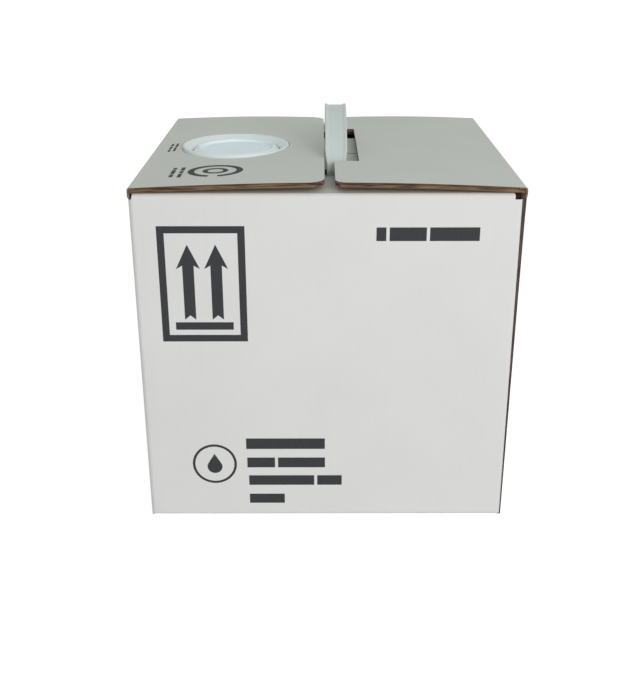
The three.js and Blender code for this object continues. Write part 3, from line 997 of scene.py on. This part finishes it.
def fold_strip(name, side):
    outer, inner = strip_line(0), strip_line(STRIP_T)
    count = len(outer)
    verts = []
    for row in range(STRIP_ROWS + 1):
        y = (HALF_D - STRIP_END_GAP) * (2 * row / STRIP_ROWS - 1)
        for line in (outer, inner):
            for reach, z in line:
                share = max(0.0, min(1.0, (z - WALL_TOP) / BOARD))
                lean = drawn_in(y, z) if side > 0 else 0
                verts.append((side * reach - lean, y, z + share * flap_lift(side * reach, y)))
    faces = []
    kinds = []
    loop = list(range(count)) + list(range(2 * count - 1, count - 1, -1))
    for row in range(STRIP_ROWS):
        base = row * 2 * count
        for i, a in enumerate(loop):
            b = loop[(i + 1) % len(loop)]
            faces.append((base + a, base + b, base + 2 * count + b, base + 2 * count + a))
            if a < count and b < count:
                kinds.append(3 if max(a, b) < STRIP_WALL_POINTS else 0)
            else:
                kinds.append(1)
    for base in (0, STRIP_ROWS * 2 * count):
        for i in range(count - 1):
            faces.append((base + i, base + i + 1, base + count + i + 1, base + count + i))
            kinds.append(2)
    materials = [shaded_white_flap, kraft_inside, edge_along_x, white_side]
    obj = new_piece(name, verts, faces, materials)
    for polygon, kind in zip(obj.data.polygons, kinds):
        polygon.material_index = kind
    face_outwards(obj.data)
    return crease(obj, SOFT_EDGE)


for side, flap in ((-1, "left_flap"), (1, "right_flap")):
    strip = fold_strip(flap + "_fold_strip", side)
    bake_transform(strip)
    print(strip.name, len(strip.data.polygons), "faces")

# %% [markdown]
# The screw cap is a turned shape: a plain skirt, a sloping shoulder, a narrow crest and a
# dished top. A profile is turned round the cap's axis, with small fillets where the real
# mould has them.

# %% Screw cap
CREST_R = 33.5 * MM
CREST_W = 1.6 * MM
SHOULDER_DROP = 2.6 * MM
DISH = 2.6 * MM
SKIRT_WALL = 2.4 * MM
DISC_T = 1.6 * MM
CREST_ROUND = 1.1 * MM
DISH_ROUND = 1.0 * MM
DISH_SET_IN = 1.9 * MM
SHOULDER_ROUND = 1.2 * MM
SHOULDER_SET_DOWN = 1.0 * MM
SKIRT_BEVEL = 0.4 * MM


def revolve(name, profile, cx, cy, materials, steps=128):
    """Turns (radius, z) points round an upright axis. A point on the axis closes that end."""
    verts = []
    rings = []
    for radius, z in profile:
        if radius < 1e-6:
            rings.append([len(verts)])
            verts.append((cx, cy, z))
            continue
        rings.append(list(range(len(verts), len(verts) + steps)))
        for i in range(steps):
            t = 2 * math.pi * i / steps
            verts.append((cx + radius * math.cos(t), cy + radius * math.sin(t), z))
    faces = []
    for low, high in zip(rings, rings[1:]):
        for i in range(steps):
            j = (i + 1) % steps
            if len(low) == 1:
                faces.append((low[0], high[j], high[i]))
            elif len(high) == 1:
                faces.append((low[i], low[j], high[0]))
            else:
                faces.append((low[i], low[j], high[j], high[i]))
    obj = new_piece(name, verts, faces, materials)
    face_outwards(obj.data)
    return obj


def cap_profile():
    top = cap_high[2]
    bottom = cap_low[2]
    disc_top = top - DISH
    disc_under = disc_top - DISC_T
    inner = CAP_R - SKIRT_WALL
    dish_x = CREST_R - CREST_W - DISH_SET_IN
    crest = arc_points(CREST_R - CREST_W / 2, top - CREST_ROUND, CREST_ROUND, 40, 140, 8)
    dish = arc_points(dish_x, disc_top + DISH_ROUND, DISH_ROUND, 0, -90, 6)
    shoulder_z = top - SHOULDER_DROP - SHOULDER_SET_DOWN
    shoulder = arc_points(CAP_R - SHOULDER_ROUND, shoulder_z, SHOULDER_ROUND, 0, 60, 6)
    points = [(0, disc_under), (inner - MM, disc_under), (inner, disc_under - MM)]
    points += [(inner, bottom + SKIRT_BEVEL), (inner + SKIRT_BEVEL, bottom)]
    points += [(CAP_R - SKIRT_BEVEL, bottom), (CAP_R, bottom + SKIRT_BEVEL)]
    return points + shoulder + crest + dish + [(0, disc_top)]


cap = crease(revolve("cap_shell", cap_profile(), CAP_X, CAP_Y, [cap_plastic]))
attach(cap, "cap")
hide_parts("screw_cap")
print("cap:", len(cap.data.polygons), "faces")

# %% [markdown]
# A moulded collar fills the gap between the cap and the flap's hole. Its lip stands just
# proud of the board and is rounded over, and a shallow cone leads from it down to the cap.

# %% Neck collar
COLLAR_WALL = 1.4 * MM
COLLAR_GAP = 0.45 * MM
LIP_ROUND = 1.1 * MM
COLLAR_CAP_GAP = 1.2 * MM
COLLAR_SLOPE = 4.6 * MM
COLLAR_LIP = 3.0 * MM
collar_low, collar_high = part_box("neck_collar")


def collar_profile():
    outer = FLAP_HOLE_R - COLLAR_GAP
    inner = CAP_R + COLLAR_CAP_GAP
    foot = collar_low[2]
    lip = collar_high[2]
    slope_low = lip - COLLAR_SLOPE
    rounded = arc_points(outer - LIP_ROUND, lip - LIP_ROUND, LIP_ROUND, 0, 125, 9)
    points = [(outer - COLLAR_WALL, foot), (outer, foot)] + rounded
    points += [(inner + 1.6 * MM, slope_low + 1.1 * MM), (inner + 0.3 * MM, slope_low + 0.2 * MM)]
    points += [(inner, slope_low - 0.4 * MM), (inner, foot), (inner + COLLAR_WALL, foot)]
    points += [(inner + COLLAR_WALL, slope_low - COLLAR_WALL)]
    return points + [(outer - COLLAR_WALL, lip - COLLAR_LIP)]


ring = collar_profile()
collar = revolve("neck_collar_ring", ring + ring[:1], CAP_X, CAP_Y, [collar_plastic])
face_outwards(collar.data, TOUCHING)
crease(collar)
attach(collar, "carton")
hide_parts("neck_collar")
print("collar:", len(collar.data.polygons), "faces")

# %% [markdown]
# The strap handle is one moulding: an arched band with raised rims that narrows to its legs.
# Its cross-section is swept along the arc, and the width is a function of the place on it.

# %% Strap handle
STRAP_W = 18 * MM
STRAP_FOOT_W = 15.5 * MM
STRAP_T = 3 * MM
CHANNEL = 1.0 * MM
RIM = 2 * MM
HALF_SPAN = 68 * MM
STRAP_X = 7.7 * MM
TAPER = 12 * MM
TONGUE_TOP = WALL_TOP - BOARD - 0.3 * MM
TONGUE_T = 3 * MM
TONGUE_LENGTH = 20 * MM
TONGUE_HEEL = 2 * MM
TONGUE_CORNER_R = 4 * MM
STRAP_SOFT = 0.7 * MM
ARCH_STEPS = 88
LEG_STEPS = 3
CHANNEL_FADE = 0.8


def strap_section(width, channel):
    """Points of the band's section: across in X, and depth measured in from its outside."""
    half = width / 2
    soft = STRAP_SOFT
    rim = half - RIM
    line = [
        (-half, STRAP_T - soft), (-half, soft), (-half + 0.3 * soft, 0.3 * soft),
        (-half + soft, 0), (-rim - soft, 0), (-rim, 0.25 * channel),
        (-rim + soft, 0.9 * channel), (-rim + 2.2 * soft, channel),
    ]
    mirrored = [(-x, depth) for x, depth in reversed(line)]
    under = [(half - soft, STRAP_T), (0, STRAP_T), (-half + soft, STRAP_T)]
    return line + mirrored + under


def strap_path():
    """Places along the strap: (y, z, outward y, outward z, width, channel share)."""
    rise = strap_high[2] - WALL_TOP
    radius = (HALF_SPAN**2 + rise**2) / (2 * rise)
    centre = strap_high[2] - radius
    widest = math.acos((WALL_TOP - centre) / radius)
    leg_low = TONGUE_TOP - TONGUE_T / 2
    foot_y = radius * math.sin(widest)
    heights = [leg_low + (WALL_TOP - leg_low) * i / LEG_STEPS for i in range(LEG_STEPS)]
    path = [(-foot_y, z, -1, 0, STRAP_FOOT_W, 0) for z in heights]
    for i in range(ARCH_STEPS + 1):
        t = -widest + 2 * widest * i / ARCH_STEPS
        y = radius * math.sin(t)
        z = centre + radius * math.cos(t)
        near = max(0.0, (abs(y) - (HALF_SPAN - TAPER)) / TAPER)
        ease = near * near * (3 - 2 * near)
        width = STRAP_W + (STRAP_FOOT_W - STRAP_W) * ease
        path.append((y, z, math.sin(t), math.cos(t), width, 1 - CHANNEL_FADE * ease))
    return path + [(foot_y, z, 1, 0, STRAP_FOOT_W, 0) for z in reversed(heights)]


def build_strap():
    verts = []
    path = strap_path()
    count = len(strap_section(STRAP_W, CHANNEL))
    for y, z, out_y, out_z, width, share in path:
        for x, depth in strap_section(width, CHANNEL * share):
            verts.append((STRAP_X + x, y - out_y * depth, z - out_z * depth))
    faces = []
    for row in range(len(path) - 1):
        for i in range(count):
            j = (i + 1) % count
            a = row * count
            faces.append((a + i, a + j, a + count + j, a + count + i))
    faces.append(tuple(range(count)))
    faces.append(tuple(reversed(range((len(path) - 1) * count, len(path) * count))))
    obj = new_piece("strap_band", verts, faces, [strap_plastic])
    face_outwards(obj.data)
    return crease(obj, SOFT_EDGE)


def tongue(name, side):
    half = (strap_high[0] - strap_low[0]) / 2
    inner = HALF_SPAN - STRAP_T - TONGUE_HEEL
    y0, y1 = sorted((side * inner, side * (inner + TONGUE_LENGTH)))
    r = TONGUE_CORNER_R
    outline = []
    for cx, cy, start in (
        (STRAP_X + half - r, y0 + r, -90), (STRAP_X + half - r, y1 - r, 0),
        (STRAP_X - half + r, y1 - r, 90), (STRAP_X - half + r, y0 + r, 180),
    ):
        outline += arc_points(cx, cy, r, start, start + 90, 6)
    return prism(name, [outline], TONGUE_TOP - TONGUE_T, TONGUE_TOP, [strap_plastic])


strap_pieces = [build_strap(), tongue("front_tongue", -1), tongue("back_tongue", 1)]
for piece in strap_pieces:
    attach(piece, "carton")
    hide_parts("strap_handle")
print("strap:", len(strap_pieces[0].data.polygons), "faces")

# %% [markdown]
# The liner and the wad under the cap have the right shape already, so they keep their solids
# and only take a better material.

# %% Carried-over solids


def paint_node(node, material):
    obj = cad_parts[node]
    for slot in obj.material_slots:
        slot.material = material


paint_node("liner", liner_plastic)
paint_node("cap_seal_disc", seal_foam)
print("painted:", "liner", "cap_seal_disc")

# %% [markdown]
# The print is thin ink, so each mark is a flat shape that lies a hair above the paper. It is
# all generic: handling arrows in a frame, plain bars, dashes, rings and a drop.

# %% Ink on the front panel
INK_LIFT = 0.06 * MM
FRONT_Y = -HALF_D - INK_LIFT


def ink_shape(name, outlines, place):
    """Flat outlines filled with ink, each point moved by the place function."""
    obj = prism(name, outlines, 0, 0.001 * MM, [black_ink])
    for vertex in obj.data.vertices:
        vertex.co = place(vertex.co.x, vertex.co.y, vertex.co.z)
    face_outwards(obj.data)
    return obj


def on_front(x, z, depth):
    return Vector((x, FRONT_Y - depth, z))


FRAME_LEFT, FRAME_RIGHT = -129.2 * MM, -62.4 * MM
FRAME_LOW, FRAME_HIGH = 160.2 * MM, 254.3 * MM
FRAME_LINE = 5.6 * MM
ARROW_APART = 10.8 * MM
ARROW_BELOW_FRAME = 14.5 * MM
ARROW_ABOVE_FRAME = 18.5 * MM
ARROW_SIZES = (9.2 * MM, 19.5 * MM, 4.4 * MM, 3.6 * MM)
BARB = 0.86
BAR_HALF = 22.6 * MM
BAR_LOW, BAR_HIGH = 10 * MM, 16.3 * MM


def arrow_outline(cx, tip, low, head_half, head_drop, shaft_half, notch):
    barb = tip - head_drop * BARB
    return [
        (cx, tip), (cx + head_half, tip - head_drop), (cx + shaft_half, barb),
        (cx + shaft_half, low), (cx, low + notch), (cx - shaft_half, low),
        (cx - shaft_half, barb), (cx - head_half, tip - head_drop),
    ]


def front_prints():
    left, right, low, high = FRAME_LEFT, FRAME_RIGHT, FRAME_LOW, FRAME_HIGH
    line = FRAME_LINE
    shapes = [
        box_outline(left, right, low, high),
        box_outline(left + line, right - line, low + line, high - line),
    ]
    middle = (left + right) / 2
    tip = high - ARROW_BELOW_FRAME
    foot = low + ARROW_ABOVE_FRAME
    for cx in (middle - ARROW_APART, middle + ARROW_APART):
        shapes.append(arrow_outline(cx, tip, foot, *ARROW_SIZES))
    x0, x1 = middle - BAR_HALF, middle + BAR_HALF
    shapes.append(box_outline(x0, x1, low + BAR_LOW, low + BAR_HIGH))
    return ink_shape("front_ink_arrows", shapes, on_front)


prints = [front_prints()]

# %% Plain bars and a ring
CAPACITY = (37.1 * MM, 240.8 * MM, 254.7 * MM)
CAPACITY_WORDS = (7.5, 28.0, 37.7)
RING_CENTRE = (-93.2 * MM, 49.8 * MM)
RING_OUTER = 18.3 * MM
RING_INNER = 16.2 * MM
DROP_TIP = 9.5 * MM
DROP_LOW = 2.5 * MM
DROP_R = 6.2 * MM
LINES = (
    (-66.7, 62.2, 75.2, (64.9,)),
    (-66.2, 44.8, 57.3, (23.0, 39.0)),
    (-65.1, 28.0, 40.4, (54.4, 20.5)),
    (-65.0, 10.5, 22.6, (29.4,)),
)
WORD_GAP = 2.5 * MM
WORD_TRIM = 1.6 * MM


def word_bars(x0, z0, z1, widths, gap):
    shapes = []
    x = x0
    for width in widths:
        shapes.append(box_outline(x, x + width, z0, z1))
        x += width + gap
    return shapes


def front_bars():
    x0, z0, z1 = CAPACITY
    words = [width * MM for width in CAPACITY_WORDS]
    shapes = word_bars(x0, z0 + WORD_TRIM, z1 - WORD_TRIM, words, WORD_GAP)
    for x, low, high, widths in LINES:
        words = [width * MM for width in widths]
        shapes += word_bars(x * MM, low * MM + WORD_TRIM, high * MM - WORD_TRIM, words, WORD_GAP)
    return ink_shape("front_ink_bars", shapes, on_front)


def front_ring():
    cx, cz = RING_CENTRE
    shapes = [circle_outline(cx, cz, RING_OUTER), circle_outline(cx, cz, RING_INNER)]
    drop = [(cx, cz + DROP_TIP)] + arc_points(cx, cz - DROP_LOW, DROP_R, 28, -208, 30)
    shapes.append(drop)
    return ink_shape("front_ink_ring", shapes, on_front)


prints += [front_bars(), front_ring()]
for piece in prints:
    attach(piece, "carton")
print("front prints:", len(prints))

# %% Ink on the left flap
MARK_CENTRE = (-87.6 * MM, -94.6 * MM)
FLAP_BARS = (
    (-122.2, -119.2, -113, (9, 14, 6)), (-115.6, -112.6, -115, (13, 7, 12)),
    (-136.4, -134.4, -18, (8, 11, 9)), (-132.2, -130.2, -16, (14, 15)),
)
DASH_GAP = 2
MARK_RING = (16.6 * MM, 21.8 * MM, -80, 258)
MARK_INNER_RING = (6.2 * MM, 10.2 * MM, 0, 360)


def on_flap(x, y):
    return (x, y, FLAP_UNDER + BOARD + flap_lift(x, y) + INK_LIFT)


def ink_band(name, cx, cy, inner, outer, start, end, steps=60):
    """A curved band of ink that follows the flap's bend, from one angle to another."""
    verts = []
    for i in range(steps + 1):
        t = math.radians(start + (end - start) * i / steps)
        for radius in (inner, outer):
            x = cx + radius * math.cos(t)
            y = cy + radius * math.sin(t)
            verts.append(on_flap(x, y))
    faces = [(2 * i, 2 * i + 1, 2 * i + 3, 2 * i + 2) for i in range(steps)]
    return new_piece(name, verts, faces, [black_ink])


def ink_tile(name, x0, x1, y0, y1, steps=8):
    verts = []
    for j in range(steps + 1):
        for i in range(steps + 1):
            x = x0 + (x1 - x0) * i / steps
            y = y0 + (y1 - y0) * j / steps
            verts.append(on_flap(x, y))
    faces = []
    for j in range(steps):
        for i in range(steps):
            a = j * (steps + 1) + i
            faces.append((a, a + 1, a + steps + 2, a + steps + 1))
    return new_piece(name, verts, faces, [black_ink])


def flap_prints():
    cx, cy = MARK_CENTRE
    pieces = [ink_band("flap_ink_ring", cx, cy, *MARK_RING)]
    pieces.append(ink_band("flap_ink_inner_ring", cx, cy, *MARK_INNER_RING))
    for x0, x1, y, lengths in FLAP_BARS:
        for length in lengths:
            name = f"flap_ink_dash_{len(pieces) - 1}"
            pieces.append(ink_tile(name, x0 * MM, x1 * MM, y * MM, (y + length) * MM, 4))
            y += length + DASH_GAP
    return pieces


for piece in flap_prints():
    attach(piece, "left_flap")

# %% [markdown]
# The light is plain and soft, with both lamps in front and to the right, so that the front
# panel is the brightest face and the top is a step darker, which the flap paper's painted shade
# adds to. The floor is white to the camera.

# %% Floor, world and lamps
FLOOR_HALF = 6.0
FLOOR_DROP = 0.0002
FLOOR_GLOW = 0.62
SKY_LIGHT = 0.45
AIM = (0, 0, 0.16)


def make_floor():
    verts = [(x, y, 0) for x, y in box_outline(-FLOOR_HALF, FLOOR_HALF, -FLOOR_HALF, FLOOR_HALF)]
    material, tree, shader = base_material("floor_white")
    path = add_node(tree, "ShaderNodeLightPath")
    feed(tree, shader, {
        "Base Color": (0.9, 0.9, 0.9, 1), "Roughness": 1.0, "Specular IOR Level": 0.0,
        "Emission Color": (1, 1, 1, 1),
        "Emission Strength": math_node(
            tree, "MULTIPLY", path.outputs["Is Camera Ray"], FLOOR_GLOW
        ),
    })
    floor = new_piece("floor", verts, [(0, 1, 2, 3)], [material], smooth=False)
    floor.location.z = -FLOOR_DROP


def make_world():
    world = bpy.data.worlds.new("world")
    scene.world = world
    world.use_nodes = True
    tree = world.node_tree
    path = add_node(tree, "ShaderNodeLightPath").outputs
    rays = math_node(tree, "MAXIMUM", path["Is Camera Ray"], path["Is Glossy Ray"])
    rays = math_node(tree, "MAXIMUM", rays, path["Is Transmission Ray"])
    seen = math_node(tree, "MULTIPLY", rays, 1 - SKY_LIGHT)
    strength = math_node(tree, "ADD", seen, SKY_LIGHT)
    feed(tree, tree.nodes["Background"], {"Color": (1, 1, 1, 1), "Strength": strength})


def make_lamp(name, place, size, power):
    data = bpy.data.lights.new(name, "AREA")
    data.shape = "DISK"
    data.size = size
    data.energy = power
    lamp = bpy.data.objects.new(name, data)
    lamp.location = place
    aim = Vector(AIM) - Vector(place)
    lamp.rotation_euler = aim.to_track_quat("-Z", "Y").to_euler()
    scene.collection.objects.link(lamp)


make_floor()
make_world()
make_lamp("key", (0.8, -2.42, 1.15), size=1.4, power=27)
make_lamp("fill", (1.5, -1.8, 1.0), size=1.6, power=5)
scene.view_settings.view_transform = "Standard"
print("stage ready")
